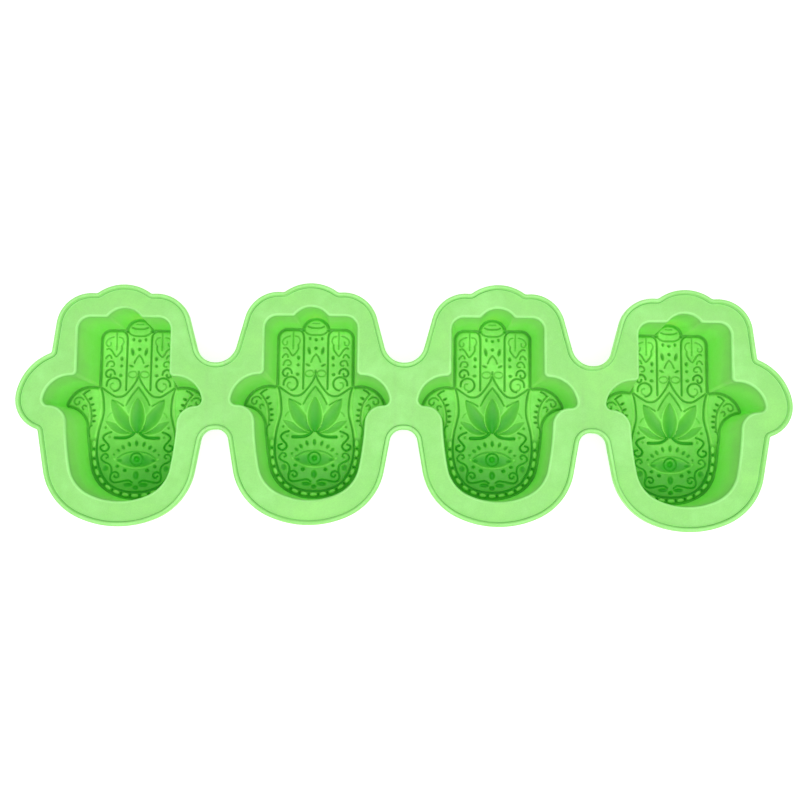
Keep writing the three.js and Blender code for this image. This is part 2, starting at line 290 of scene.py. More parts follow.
def line_notch(arc, a, lobe, lobe_r, side):
    """The centre of the small hollow arc between a lobe and the line leaving a convex arc at angle a."""
    r = EDGE["corner_notch_r"]
    start = polar(arc[0], arc[1] + r, a)
    ux, uy = -math.sin(math.radians(a)), math.cos(math.radians(a))
    dx, dy = start[0] - lobe[0], start[1] - lobe[1]
    b = dx * ux + dy * uy
    c = dx * dx + dy * dy - (lobe_r + r) ** 2
    along = -b + side * math.sqrt(b * b - c)
    return start[0] + along * ux, start[1] + along * uy


def end_side_arcs():
    """The edge on an outer side, where it runs round the thumb in a lobe."""
    palm, fingers = palm_edge_arcs(), finger_edge_arcs(EDGE["end_lean"])
    thumb, tip = MOUTH["thumb"], hand_arcs()[TIP_ARC][0]
    thumb_r, tip_r = (MOUTH[key] + EDGE["lobe"] for key in ("thumb_r", "tip_r"))
    r = EDGE["corner_notch_r"]
    low = line_notch(palm[-1], -EDGE["palm_lean"], tip, tip_r, -1)
    high = line_notch(fingers[0], EDGE["end_lean"], thumb, thumb_r, 1)
    tip_from, thumb_to = angle_to(tip, low), angle_to(thumb, high)
    return palm + [
        (low, r, 180 - EDGE["palm_lean"], 180 + tip_from),
        (tip, tip_r, tip_from, MOUTH["tip_at"]),
        (thumb, thumb_r, MOUTH["tip_at"], thumb_to),
        (high, r, 180 + thumb_to, 180 + EDGE["end_lean"]),
    ] + fingers


WEB_LOW, WEB_HIGH = web_side_arcs()
END_ARCS = end_side_arcs()
WEB_LOW_PLAN, WEB_HIGH_PLAN, END_PLAN = plan_of(WEB_LOW), plan_of(WEB_HIGH), plan_of(END_ARCS)


def edge_chains(side, inset):
    """The right half of a cup's flange edge: one chain round a lobe, or two that stop at a web."""
    if side == "end":
        return [trace(END_ARCS, -inset, END_PLAN)]
    return [
        trace(WEB_LOW, -inset, WEB_LOW_PLAN, cut_last=CUT),
        trace(WEB_HIGH, -inset, WEB_HIGH_PLAN, cut_first=CUT),
    ]


# ---- relief of a cup's floor --------------------------------------------------------------------
# All of it is the same on the left and on the right, so it is drawn for x >= 0.


CURVE_STEP = 0.15  # spacing of points along a curve of the drawing
SPIRAL_TURN = 10  # degrees from one point of a spiral to the next


def curve_through(points):
    """A smooth curve through points (Catmull-Rom), as a polyline."""
    p = np.asarray(points, float)
    q = np.vstack([2 * p[0] - p[1], p, 2 * p[-1] - p[-2]])
    pieces = []
    for a, b, c, d in zip(q, q[1:], q[2:], q[3:]):
        n = max(2, int(math.dist(b, c) / CURVE_STEP))
        t = (np.arange(n) / n)[:, None]
        bend = (2 * a - 5 * b + 4 * c - d) * t**2 + (3 * b - a - 3 * c + d) * t**3
        pieces.append(b + 0.5 * ((c - a) * t + bend))
    return np.vstack(pieces + [p[-1:]])


def spiral(centre, r0, r1, a0, a1):
    """A polyline round a centre, from radius r0 at angle a0 to r1 at a1."""
    n = int(abs(a1 - a0) / SPIRAL_TURN)
    a = np.radians(np.linspace(a0, a1, n + 1))
    r = np.linspace(r0, r1, n + 1)
    return np.column_stack([centre[0] + r * np.cos(a), centre[1] + r * np.sin(a)])


def distance(x, y, line):
    """Distance from each point to a polyline."""
    best = np.full(x.shape, 1e9)
    for (ax, ay), (bx, by) in zip(line, line[1:]):
        dx, dy = bx - ax, by - ay
        t = np.clip(((x - ax) * dx + (y - ay) * dy) / (dx * dx + dy * dy + 1e-12), 0, 1)
        best = np.minimum(best, (x - ax - t * dx) ** 2 + (y - ay - t * dy) ** 2)
    return np.sqrt(best)


def smooth(t):
    """0 up to t = 0 and 1 from t = 1 on, with a soft rise between them."""
    t = np.clip(t, 0, 1)
    return t * t * (3 - 2 * t)


def inside_of(x, y, polygon):
    """Which of the points lie inside a polygon."""
    inside = np.zeros(x.shape, bool)
    for (x0, y0), (x1, y1) in zip(polygon, np.roll(polygon, -1, axis=0)):
        if y0 != y1:
            inside ^= ((y0 > y) != (y1 > y)) & (x < (x1 - x0) * (y - y0) / (y1 - y0) + x0)
    return inside


DRAWN_AT = -0.45  # y of the drawing's origin in the cup's frame
# Half width and depth of each kind of line.
FAINT, FINE, LINE, BOLD, DEEP = (0.42, 0.25), (0.42, 0.4), (0.47, 0.6), (0.52, 0.85), (0.75, 1.1)

# The palm's border: under the fingers, down its side, and along its lower edge.
OGEE = [(0, 14.3), (1.1, 11.8), (3, 8.9), (5, 6.6), (6.5, 5.7), (8.2, 5.5), (9.8, 5.8), (12.2, 7.3),
        (14.8, 9.1)]
PALM_SIDE = [(15.2, 9), (14.6, 7), (14.1, 4.5), (13.8, 1), (13.9, -2), (14.6, -5), (15.5, -8.5), (16, -12)]
PALM_END = [(16, -12), (16.1, -15.5), (15.9, -19), (15.1, -22.8), (13.7, -26.3), (11.3, -29.7), (8, -31.8),
            (4, -33.1), (0, -33.4)]


def finger_lines():
    # between the middle finger and the side finger
    yield BOLD, [(7.4, 32.9), (6.2, 32.3), (5.4, 31.3), (5.05, 29.8), (5, 28), (5, 20), (5, 8.4)]
    # the middle finger: its tip, a bud and a loop
    yield LINE, [(0, 33.7), (1.8, 33.8), (3.2, 34.3)]
    yield FINE, [(0, 35.6), (1.3, 35.7)]
    yield LINE, [(0, 30.8), (2, 30.85), (3.6, 31.4), (4.6, 32.2)]
    yield LINE, [(0, 22.8), (0.9, 21.8), (1.5, 20.7), (1.9, 19.6)]
    yield FINE, [(0.6, 14.8), (1.2, 15.8), (2.4, 16.1), (3.7, 15.7), (4.3, 14.9), (3.8, 13.9), (2.4, 13.5),
                 (1.2, 13.9), (0.6, 14.8)]
    # the side finger: a stem with leaves, and curls below it
    yield FINE, [(9.4, 32.2), (9.4, 29), (9.4, 25)]
    yield LINE, [(7.3, 26.6), (7.3, 25), (8, 23.7), (9, 22.5), (9.7, 22.2), (10.5, 23.2), (11.3, 24.5),
                 (12.4, 25.4), (13.3, 25.2)]
    yield FINE, [(7.3, 26.6), (6.6, 28.2), (7.2, 29.8), (8.4, 30.2)]
    yield FINE, [(10.8, 30.3), (12, 29.9), (13.3, 29), (13.8, 27.6), (13.1, 26.5), (12, 26.8), (11.9, 27.9)]
    yield LINE, [(11.4, 21.5), (11.7, 22.3), (12.4, 22.7), (13.2, 22.2), (13.7, 21.4)]
    yield LINE, [(13.3, 18.2), (13, 19.3), (12.3, 20.1), (11.3, 20.2), (10.5, 19.7), (10.2, 18.9),
                 (10.6, 18.2), (11.4, 18.1)]
    yield BOLD, [(9.8, 14.8), (10.1, 15.9), (11, 16.7), (12, 16.8), (13, 16.2), (13.5, 15.2), (13.3, 14.2),
                 (12.5, 13.6), (11.7, 13.9), (11.5, 14.7)]


def palm_lines():
    # the border, and the outline behind the lotus
    yield BOLD, OGEE
    yield BOLD, PALM_SIDE
    yield BOLD, PALM_END
    yield LINE, [(0, 9.5), (1.1, 8.1), (2.3, 6.5), (3.7, 4.3), (4.8, 2.2)]
    yield LINE, [(5.9, 1.9), (7.2, 2.6), (8.6, 3.4), (10.4, 4.1)]
    yield FAINT, [(10.6, -1.0), (11.5, -1.7), (12.1, -2.8)]
    # what the lotus rests on, and the curl beside it
    yield DEEP, [(1.2, -9.3), (2.5, -10.4), (4.2, -11.1), (6.4, -11.35), (8.9, -11.3)]
    yield BOLD, [(10.6, -9.0), (12, -9.5), (13.4, -10.4), (13.8, -11.5), (12.9, -12.9), (11.7, -14.2),
                 (11.4, -15.4), (12.2, -16.5), (13.5, -16.8), (14.7, -15.9), (14.6, -14.8), (13.4, -14.3)]
    # the vine round the eye
    yield LINE, [(12.2, -19.6), (11.6, -19.2), (11.9, -18.3), (13, -18), (14.1, -18.9), (14.2, -20.2),
                 (12.9, -21.3), (11.2, -22.1), (10.2, -23.4), (10, -25.2), (10.4, -27), (10.2, -28.6),
                 (9, -29.5), (7.3, -29.5), (5, -29), (2.8, -28.8), (1.4, -29.6)]
    yield LINE, [(10.3, -26.6), (9.6, -25.6), (8.3, -25.3), (7.2, -26), (7.2, -27.2), (8.2, -27.6),
                 (8.8, -26.9)]
    # the eyelid
    yield FINE, [(0, -16.9), (3, -17.2), (5.5, -18.1), (7.6, -19.5)]


def thumb_lines():
    # along the inside of the thumb
    yield BOLD, [(20, 8.1), (21.2, 7.5), (22.4, 6.4)]
    yield LINE, [(22.4, 6.4), (21.3, 5), (20.4, 3.6), (19.6, 2), (19.1, 0), (18.8, -2.2), (18.8, -4.6),
                 (19.1, -6.5)]
    yield BOLD, [(18.6, -6.4), (19.3, -6.8), (19.8, -8.2), (19.8, -9.6), (19.4, -11)]
    # curls on the thumb
    yield LINE, [(22.1, 4.2), (23.3, 5), (24.8, 5), (25.9, 4.1), (26, 2.9), (25.2, 2.1), (24.2, 2.4),
                 (24, 3.3)]
    yield LINE, [(21.1, 1.5), (22, 1.9), (22.7, 1.1), (22.3, 0.1)]


CURL = (10.15, 10.5)  # the middle of the round curl under a side finger
EYE = (0, -20)
IRIS_R = 2.5


def relief_lines():
    """Every sunk line, as its weight and its polyline."""
    for weight, points in (*finger_lines(), *palm_lines(), *thumb_lines()):
        yield weight, curve_through(points)
    yield BOLD, spiral(CURL, 2.95, 2.7, -10, 265)
    yield FINE, spiral(CURL, 2.3, 0.5, 265, 430)
    yield BOLD, spiral(EYE, IRIS_R, IRIS_R, -90, 90)


def ridge_lines():
    """Raised lines: along the thumb, under the eye, and outside the palm's border."""
    yield curve_through([(24.3, 7.2), (22.2, 4.9), (20.9, 3), (20, 0.8), (19.6, -2), (19.6, -4.4)])
    yield curve_through([(0, -23.7), (3.5, -23.2), (6.5, -22), (9, -20)])
    yield curve_through([(15.9, 8.7), (15.2, 5.5), (15, 1), (15.4, -3), (16.2, -7.5), (16.8, -11)])


# The short strokes along the thumb as (x, y, turn in degrees), and what they have in common.
THUMB_TICKS = ((19.5, 4.6, -30), (18.7, 2.2, -20), (18.1, -0.2, -8), (17.8, -2.4, -8), (17.9, -4.6, 0))
TICK = {"wide": 1.2, "high": 0.65, "depth": 1.0}


def relief_pits():
    """Pits as (x, y, half width, half height, turn in degrees, depth)."""
    yield from (
        (5.3, 32.7, 1.2, 0.9, 0, 1.0),
        (0, 28.8, 0.85, 0.8, 0, 0.8),
        (2.5, 29.3, 0.65, 0.9, 0, 0.8),
        (0, 25.3, 0.85, 0.85, 0, 0.9),
        (2.8, 24.2, 0.8, 1.9, -12, 0.9),
        (3.2, 18.3, 1.3, 0.6, 25, 0.8),
        (0, 15.4, 0.65, 1.2, 0, 0.8),
        (7.1, 21.3, 0.8, 1.1, 0, 0.9),
        (7.2, 18.3, 0.8, 0.8, 0, 0.8),
        (7.4, 14.4, 0.95, 0.8, 0, 0.8),
        (9.4, 26.3, 0.5, 0.75, 0, 0.5),
        (12.9, -7.2, 0.65, 0.7, 0, 0.6),
        (11.2, -11, 0.7, 0.7, 0, 0.4),
        (0, -13.5, 0.8, 1.5, 0, 0.8),
        (3, -13.9, 0.75, 1.3, -18, 0.8),
        (5.5, -15.2, 0.75, 1.2, -35, 0.7),
        (7.4, -16.5, 0.75, 1.1, -50, 0.6),
        (9.2, -18.2, 0.6, 0.6, 0, 0.5),
        (0, -20.7, 8.5, 2.9, 0, 0.6),
        (*EYE, 1.5, 1.5, 0, 1.4),
        (6.9, -20.6, 1.9, 0.95, 0, 0.6),
        (7.7, -23, 0.9, 0.75, 0, 0.7),
        (4.6, -24.6, 0.95, 0.85, 0, 0.8),
        (0, -26.5, 1.3, 1.9, 0, 0.7),
        (12.4, -23.8, 1.3, 1.4, 0, 0.5),
        (3.1, -30.5, 2.2, 0.95, 0, 0.7),
        (0, -31.6, 1.3, 1.0, 0, 0.7),
    )
    for x, y, turn in THUMB_TICKS:
        yield x, y, TICK["wide"], TICK["high"], turn, TICK["depth"]


PETALS = (  # root, tip, half width, depth and bow of each petal, the hindmost first
    ((0, -5), (0, 9.9), 5.9, 0.3, 0),
    ((2.3, -9.3), (13.1, -4.5), 2.1, 0.75, 0.7),
    ((0.8, -9.3), (10.9, 4.5), 3.2, 1.0, 0.9),
    ((0, -9.4), (0, 5.2), 3.5, 1.25, 0),
)
# A petal is widest past its middle and blunt at its ends, and its hollow is shallower towards the tip.
PETAL = {"widest": 0.9, "blunt": 0.65, "shallower": 0.5}
PETAL_EDGE = {"from": 0.65, "rise": 0.3}  # where across a petal its raised edge starts, and its height


def petal(x, y, root, tip, half, depth, bow):
    """The depth of a hollow petal with a raised edge, and where it lies."""
    dx, dy = tip[0] - root[0], tip[1] - root[1]
    length = math.hypot(dx, dy)
    t = ((x - root[0]) * dx + (y - root[1]) * dy) / length**2
    along = np.clip(t, 0, 1)
    across = ((x - root[0]) * dy - (y - root[1]) * dx) / length - bow * np.sin(np.pi * along)
    half_here = half * np.sin(np.pi * along ** PETAL["widest"]) ** PETAL["blunt"]
    q = np.abs(across) / (half_here + 1e-6)
    hollow = depth * (1 - PETAL["shallower"] * t) * np.clip(1 - q**2, 0, 1)
    edge = PETAL_EDGE["rise"] * smooth((q - PETAL_EDGE["from"]) / (1 - PETAL_EDGE["from"]))
    return hollow - edge, (t > 0) & (t < 1) & (q < 1)


def ellipse_at(x, y, cx, cy, wide, high, turn):
    """1 at the middle of an ellipse, falling to 0 at its edge."""
    c, s = math.cos(math.radians(turn)), math.sin(math.radians(turn))
    u = (x - cx) * c + (y - cy) * s
    v = -(x - cx) * s + (y - cy) * c
    return np.clip(1 - (u / wide) ** 2 - (v / high) ** 2, 0, 1)


BEAD_PATH = [(17.3, -13.9), (17.4, -17.5), (16.9, -21.4), (15.8, -25.3), (13.8, -28.8), (11, -31.6),
             (7.7, -33.4), (4, -34.5), (0, -34.9)]
BEADS = 9
BEAD = {"size": (0.75, 1.35), "notch": (0.95, 0.5), "rise": 0.4, "cut": 0.6}


def bead_fields(x, y):
    """The beads along the palm's border, and the notches between them, each from 0 to 1."""
    path = curve_through(BEAD_PATH)
    along = np.concatenate([[0], np.cumsum(np.hypot(*np.diff(path, axis=0).T))])
    beads, notches = np.zeros(x.shape), np.zeros(x.shape)
    for half_step in range(2 * BEADS - 1):
        k = min(int(np.searchsorted(along, along[-1] * half_step / (2 * BEADS - 2))), len(path) - 2)
        turn = angle_to(path[k], path[k + 1]) + 90
        if half_step % 2:
            notches = np.maximum(notches, ellipse_at(x, y, *path[k], *BEAD["notch"], turn))
        else:
            beads = np.maximum(beads, ellipse_at(x, y, *path[k], *BEAD["size"], turn))
    return np.sqrt(beads), notches


PALM_FADE = {"from_y": 2, "over": 34}  # from the lotus down to the palm's lower edge
PALM_LEVEL = {"top": 0.3, "more_below": 0.45, "slope": 0.9}  # how far the palm lies below the fingers
BORDER_LEVEL = {"from_y": -11, "over": 2, "depth": 0.25, "slope": 0.8}  # the same for the beads' border
FOOT = {"inset": 0.45, "depth": 0.7, "width": 1.2}  # the groove along the floor's edge
RIDGE = {"half": 0.55, "rise": 0.25}  # half width and height of a raised line
# How much painted shade each part of the relief adds to the tone: darker in grooves, pits, petals, lower
# levels and the foot's groove, and a painted shadow of the lower wall towards the palm's lower edge. Where
# a share is negative, or a petal's edge is raised, the beads, raised lines and petal edges get a painted
# highlight instead.
PAINTED_SHADE_AND_HIGHLIGHT = {
    "level": 0.3, "border": 0.3, "cut": 0.85, "petal": 0.75, "palm": 0.37, "bead": -1.3, "ridge": -0.3,
    "foot": 0.9,
}


def down_palm(y):
    """0 above the lotus and 1 at the palm's lower edge."""
    return smooth((PALM_FADE["from_y"] - y) / PALM_FADE["over"])


def level_field(x, y):
    """How far the palm and its border lie below the fingers, and where the border is, from 0 to 1."""
    edge = np.vstack([curve_through(line) for line in (OGEE, PALM_SIDE, PALM_END)])
    left_of_middle = [(-1, PALM_END[-1][1]), (-1, OGEE[0][1])]
    in_palm = inside_of(x, y, np.vstack([edge, left_of_middle]))
    to_edge = distance(x, y, edge)
    palm = PALM_LEVEL["top"] + PALM_LEVEL["more_below"] * down_palm(y)
    border = np.where(in_palm, 0, smooth((BORDER_LEVEL["from_y"] - y) / BORDER_LEVEL["over"]))
    return np.where(
        in_palm,
        palm * smooth(to_edge / PALM_LEVEL["slope"]),
        BORDER_LEVEL["depth"] * border * smooth(to_edge / BORDER_LEVEL["slope"]),
    ), border


def cut_field(x, y):
    """The depth of the lines and the pits."""
    cut = np.zeros(x.shape)
    for (half, depth), line in relief_lines():
        low, high = line.min(axis=0) - half, line.max(axis=0) + half
        near = (x > low[0]) & (x < high[0]) & (y > low[1]) & (y < high[1])
        across = distance(x[near], y[near], line) / half
        cut[near] = np.maximum(cut[near], depth * np.clip(1 - across**2, 0, 1))
    for cx, cy, wide, high, turn, depth in relief_pits():
        reach = max(wide, high)
        near = (np.abs(x - cx) < reach) & (np.abs(y - cy) < reach)
        pit = ellipse_at(x[near], y[near], cx, cy, wide, high, turn)
        cut[near] = np.maximum(cut[near], depth * pit)
    return cut


def ridge_field(x, y):
    """The raised lines, from 0 to 1."""
    ridge = np.zeros(x.shape)
    for line in ridge_lines():
        ridge = np.maximum(ridge, np.clip(1 - (distance(x, y, line) / RIDGE["half"]) ** 2, 0, 1))
    return ridge


def petal_field(x, y):
    """The depth of the lotus, in which each petal lies over those before it."""
    petals = np.zeros(x.shape)
    for shape in PETALS:
        hollow, inside = petal(x, y, *shape)
        petals[inside] = hollow[inside]
    return petals


def relief(x, y):
    """How far the floor lies below the level of the finger panels, in mm, and the painted shade and
    highlight that its relief adds to the tone.
    """
    to_edge = distance(np.abs(x), y, trace(hand_arcs(FLOOR), -FOOT["inset"], HAND_PLAN))
    foot = FOOT["depth"] * (1 - smooth(to_edge / FOOT["width"]))
    x, y = np.abs(x), y - DRAWN_AT
    level, border = level_field(x, y)
    beads, notches = bead_fields(x, y)
    cut = np.maximum(cut_field(x, y), BEAD["cut"] * notches)
    parts = {
        "level": level,
        "border": border,
        "cut": cut,
        "petal": petal_field(x, y),
        "palm": down_palm(y),
        "bead": beads,
        "ridge": ridge_field(x, y),
    }
    hollow = np.maximum(np.maximum(cut, parts["petal"]), foot)
    sunk = level + hollow - BEAD["rise"] * beads - RIDGE["rise"] * parts["ridge"]
    # painted shade from the hollows and lower levels, painted highlight on the beads and raised lines
    painted_shade_and_highlight = sum(PAINTED_SHADE_AND_HIGHLIGHT[name] * part for name, part in parts.items())
    return sunk, np.maximum(painted_shade_and_highlight, PAINTED_SHADE_AND_HIGHLIGHT["foot"] * foot)


# ---- mesh building ------------------------------------------------------------------------------

# The soft row bends a little in its plane: from this far from the middle on, its ends lie lower in y.
SAG = {"from_x": 50, "over": 45, "drop": 1.2}

SHARP = 60  # degrees between two faces that aren't shaded as one
ONLY_INSIDE = 1  # the kind of triangulation that stays inside the edges it is given
MERGE = 1e-7  # points nearer than this would become one


class Skin:
    """Collects the points and faces of one closed skin, in mm."""

    def __init__(self):
        self.points = []
        self.tones = []
        self.faces = []
        self.count = 0

    def add(self, xy, z, tone=0.0):
        """Adds a row of points, and returns their numbers."""
        xy = np.asarray(xy, float)
        z = np.broadcast_to(z, (len(xy),))
        self.points.append(np.column_stack([xy, z]))
        self.tones.append(np.broadcast_to(tone, (len(xy),)))
        ids = np.arange(self.count, self.count + len(xy))
        self.count += len(xy)
        return ids

    def where(self):
        return np.vstack(self.points)

    def bridge(self, a, b, closed=True):
        """Quads between two rows of points. Seen from outside, b is on the left of a's direction."""
        n = len(a) if closed else len(a) - 1
        for i in range(n):
            j = (i + 1) % len(a)
            self.faces.append((a[i], a[j], b[j], b[i]))

    def fill(self, loops, inner_xy, inner_z, up, inner_tone=0.0):
        """Triangles over the region inside loops[0] and outside the others, with more points inside it."""
        where = self.where()
        ids = np.concatenate(loops)
        if len(inner_xy):
            ids = np.concatenate([ids, self.add(inner_xy, inner_z, inner_tone)])
            where = self.where()
        xy = where[ids][:, :2]
        edges = []
        start = 0
        for loop in loops:
            n = len(loop)
            edges += [(start + i, start + (i + 1) % n) for i in range(n)]
            start += n
        out = delaunay_2d_cdt([Vector(p) for p in xy], edges, [], ONLY_INSIDE, MERGE)
        if len(out[0]) != len(xy):
            raise RuntimeError(f"the fill merged points: {len(xy)} became {len(out[0])}")
        origin = [o[0] for o in out[3]]
        triangles = np.array([[origin[i] for i in f] for f in out[2]])
        middle = xy[triangles].mean(axis=1)
        keep = np.ones(len(triangles), bool)
        for loop in loops[1:]:
            keep &= ~inside_of(middle[:, 0], middle[:, 1], where[loop][:, :2])
        keep &= inside_of(middle[:, 0], middle[:, 1], where[loops[0]][:, :2])
        triangles = triangles[keep]
        a, b, c = (xy[triangles[:, i]] for i in range(3))
        area = (b[:, 0] - a[:, 0]) * (c[:, 1] - a[:, 1]) - (b[:, 1] - a[:, 1]) * (c[:, 0] - a[:, 0])
        turn = (area > 0) != up
        triangles[turn] = triangles[turn][:, ::-1]
        self.faces += [tuple(t) for t in ids[triangles]]

    def build(self, name, middle_x, material):
        """Puts the skin at its place in the row, with the row's bend, and makes an object of it."""
        points = self.where() + (middle_x, SHIFT_Y, 0)
        outward = smooth((np.abs(points[:, 0]) - SAG["from_x"]) / SAG["over"])
        points[:, 1] += SAG["drop"] * (0.5 - outward)
        mesh = bpy.data.meshes.new(name)
        mesh.from_pydata((points * MM).tolist(), [], [tuple(int(i) for i in f) for f in self.faces])
        mesh.validate()
        mesh.polygons.foreach_set("use_smooth", [True] * len(mesh.polygons))
        mesh.set_sharp_from_angle(angle=math.radians(SHARP))
        tone = mesh.attributes.new("tone", "FLOAT", "POINT")
        tone.data.foreach_set("value", np.concatenate(self.tones))
        mesh.materials.append(material)
        obj = bpy.data.objects.new(name, mesh)
        bpy.context.scene.collection.objects.link(obj)
        return obj


def grid_inside(ring, spacing, region):
    """A triangular grid of points inside a ring."""
    low, high = ring.min(axis=0), ring.max(axis=0)
    rows = np.arange(low[1], high[1], spacing * math.sqrt(3) / 2)
    points = []
    for i, y in enumerate(rows):
        xs = np.arange(low[0] + (i % 2) * spacing / 2, high[0], spacing)
        points.append(np.column_stack([xs, np.full(len(xs), y)]))
    points = np.vstack(points)
    points = points[inside_of(points[:, 0], points[:, 1], ring)]
    closed = np.vstack([ring, ring[:1]])
    return points[distance(points[:, 0], points[:, 1], closed) > spacing * CLEAR[region]]


GRID = 0.25  # spacing of a floor's points
UNDERSIDE_GRID = 4.0  # the same for a cup's underside, and for the flange and the webs below
PLATE_GRID = 3.0
WEB_GRID = 1.0
# How far a grid stays clear of the outline of its region, as a share of its spacing.
CLEAR = {"floor": 0.7, "underside": 0.25, "plate": 0.4}
CUT_POINTS = 11  # along each cut between the rims
WEB_STEPS = 9  # from a cut to a web's middle
MOUTH_STEPS = 5  # round the mouth's edge
FILLET_STEPS = 4  # round the outer fillet

MOUTH_R = 1.0  # of the round edge between the plate and the inner walls
MOUTH_HIGHLIGHT = -0.3  # a painted highlight along the mouth's round edge
WALL_DOWN = (0.1, 0.25, 0.42, 0.58, 0.74, 0.87, 0.95, 0.985)  # from the mouth to the foot
# An inner wall's tone at its top, what it gains down to the foot, and how steeply it rises at the foot.
# The walls' tone paints them lighter than the flange, and paints shade that darkens them at the foot.
WALL_LIGHT_AND_SHADE = {"top": 0.3, "down": 0.5, "foot_from": 0.95, "foot": 6}
FLOOR_TONE = 1.0  # where the relief has no depth
WALL = 1.8  # thickness at the plate
DRAFT = 1.3  # how far an outer wall is drawn in at the floor's height
OUTER_FILLET = 0.4  # between the outer walls and the flange
OUTER_WALL_Z = (18, 12, 6, 1.6, 0.75, 0.22, 0.0)
UNDER_ROUND = 1.6  # of the lower edge of a cup
OUTER_SOFTEN = 3.2  # how much rounder the hollow corners are outside
UNDER_TONE = 0.3
RIM_CREASE_SHADE = -0.8  # painted shade along the foot of the rim
# The rim's tone paints shade in the crease at its foot and a highlight along its top.
RIM_PROFILE = [  # inset from the outer edge, height above the plate, tone
    (2.5, 0.0, 0.0), (2.1, 0.03, 0.1), (1.85, 0.14, RIM_CREASE_SHADE), (1.7, 0.36, RIM_CREASE_SHADE), (1.62, 0.7, 0.1),
    (1.55, 1.05, 0.0), (1.4, 1.34, -0.1), (1.15, 1.53, -0.2), (0.82, 1.6, -0.2), (0.5, 1.55, -0.1),
    (0.24, 1.38, 0.05), (0.07, 1.1, 0.15), (0.0, 0.7, 0.3), (0.0, -1.7, 0.35), (0.1, -2.2, 0.35),
    (0.35, -2.5, 0.3), (0.6, -2.6, 0.3),
]


def drawn_in(z):
    """How far the outer walls are drawn in at height z."""
    return DRAFT * (PLATE_Z - z) / (PLATE_Z - FLOOR_Z)


def cup_inside(skin):
    """The mouth, walls and floor of a cup. Returns the ring where the mouth leaves the plate."""
    rings = []
    for a in np.linspace(0, 90, MOUTH_STEPS + 1):
        out = MOUTH_R * (1 - math.sin(math.radians(a)))
        z = PLATE_Z - MOUTH_R * (1 - math.cos(math.radians(a)))
        # the mouth's round edge gets a painted highlight
        rings.append(skin.add(hand_ring(out), z, MOUTH_HIGHLIGHT if 0 < a < 90 else 0))
    mouth, foot = hand_ring(0), hand_ring(0, shape=FLOOR)
    top_z = PLATE_Z - MOUTH_R
    # the floor's edge: its depth, and the painted shade and highlight of its relief
    sunk, painted_shade_and_highlight = relief(foot[:, 0], foot[:, 1])
    foot_z = FLOOR_Z - sunk
    for t in WALL_DOWN:
        # painted light on the walls, and painted shade at their foot
        tone = WALL_LIGHT_AND_SHADE["top"] + WALL_LIGHT_AND_SHADE["down"] * t
        tone += WALL_LIGHT_AND_SHADE["foot"] * max(0, t - WALL_LIGHT_AND_SHADE["foot_from"])
        rings.append(skin.add(mouth + (foot - mouth) * t, top_z + (foot_z - top_z) * t, tone))
    rings.append(skin.add(foot, foot_z, FLOOR_TONE + painted_shade_and_highlight))
    for a, b in zip(rings, rings[1:]):
        skin.bridge(a, b)
    skin.fill([rings[-1]], FLOOR_POINTS, FLOOR_Z - FLOOR_SUNK, True, FLOOR_TONE + FLOOR_PAINTED_SHADE_AND_HIGHLIGHT)
    return rings[0]


def cup_outside(skin):
    """The outer faces of a cup's walls and its underside. Returns the ring where they leave the flange."""
    rings = []
    for a in np.linspace(0, 90, FILLET_STEPS + 1):
        out = WALL + OUTER_FILLET * (1 - math.sin(math.radians(a)))
        z = UNDERSIDE_Z - OUTER_FILLET * (1 - math.cos(math.radians(a)))
        rings.append(skin.add(hand_ring(out - drawn_in(z), OUTER_SOFTEN), z))
    for z in OUTER_WALL_Z:
        round_in = UNDER_ROUND - math.sqrt(UNDER_ROUND**2 - max(0, UNDER_ROUND - z) ** 2)
        rings.append(skin.add(hand_ring(WALL - drawn_in(z) - round_in, OUTER_SOFTEN), z))
    for a, b in zip(rings, rings[1:]):
        skin.bridge(b, a)
    base = skin.where()[rings[-1]][:, :2]
    skin.fill([rings[-1]], grid_inside(base, UNDERSIDE_GRID, "underside"), 0.0, False, UNDER_TONE)
    return rings[0]


def cut_column(low, high):
    """Points between two ends of a cut, without the ends."""
    t = (np.arange(1, CUT_POINTS + 1) / (CUT_POINTS + 1))[:, None]
    return low + (high - low) * t


def rim_and_plate(skin, chains_of, holes_top, holes_under, spacing):
    """The rim, both faces of the plate and the cut faces. chains_of(inset) gives the edge's chains
    anticlockwise. Where one chain ends and the next one starts, the flange is cut."""
    rows = []
    for inset, rise, tone in RIM_PROFILE:
        rows.append([skin.add(chain, PLATE_Z + rise, tone) for chain in chains_of(inset)])
    for inner, outer in zip(rows, rows[1:]):
        for a, b in zip(inner, outer):
            skin.bridge(b, a, closed=False)
    where = skin.where()
    under_z = where[rows[-1][0][0]][2]
    top_loop, under_loop = [], []
    for i, (top, under) in enumerate(zip(rows[0], rows[-1])):
        j = (i + 1) % len(rows[0])
        top_cut = skin.add(cut_column(where[top[-1]][:2], where[rows[0][j][0]][:2]), PLATE_Z)
        under_cut = skin.add(cut_column(where[under[-1]][:2], where[rows[-1][j][0]][:2]), under_z)
        top_loop += [top, top_cut]
        under_loop += [under, under_cut]
        down = [row[i][-1] for row in rows]
        up_again = [row[j][0] for row in rows[::-1]]
        skin.faces.append((*down, *under_cut, *up_again, *top_cut[::-1]))
    top_loop, under_loop = np.concatenate(top_loop), np.concatenate(under_loop)
    where = skin.where()
    for loop, holes, up in ((top_loop, holes_top, True), (under_loop, holes_under, False)):
        ring = where[loop][:, :2]
        inner = grid_inside(ring, spacing, "plate")
        for hole in holes:
            hole_ring = where[hole][:, :2]
            closed_hole = np.vstack([hole_ring, hole_ring[:1]])
            inner = inner[~inside_of(inner[:, 0], inner[:, 1], hole_ring)]
            inner = inner[distance(inner[:, 0], inner[:, 1], closed_hole) > spacing * CLEAR["plate"]]
        skin.fill([loop, *holes], inner, where[loop[0]][2], up)


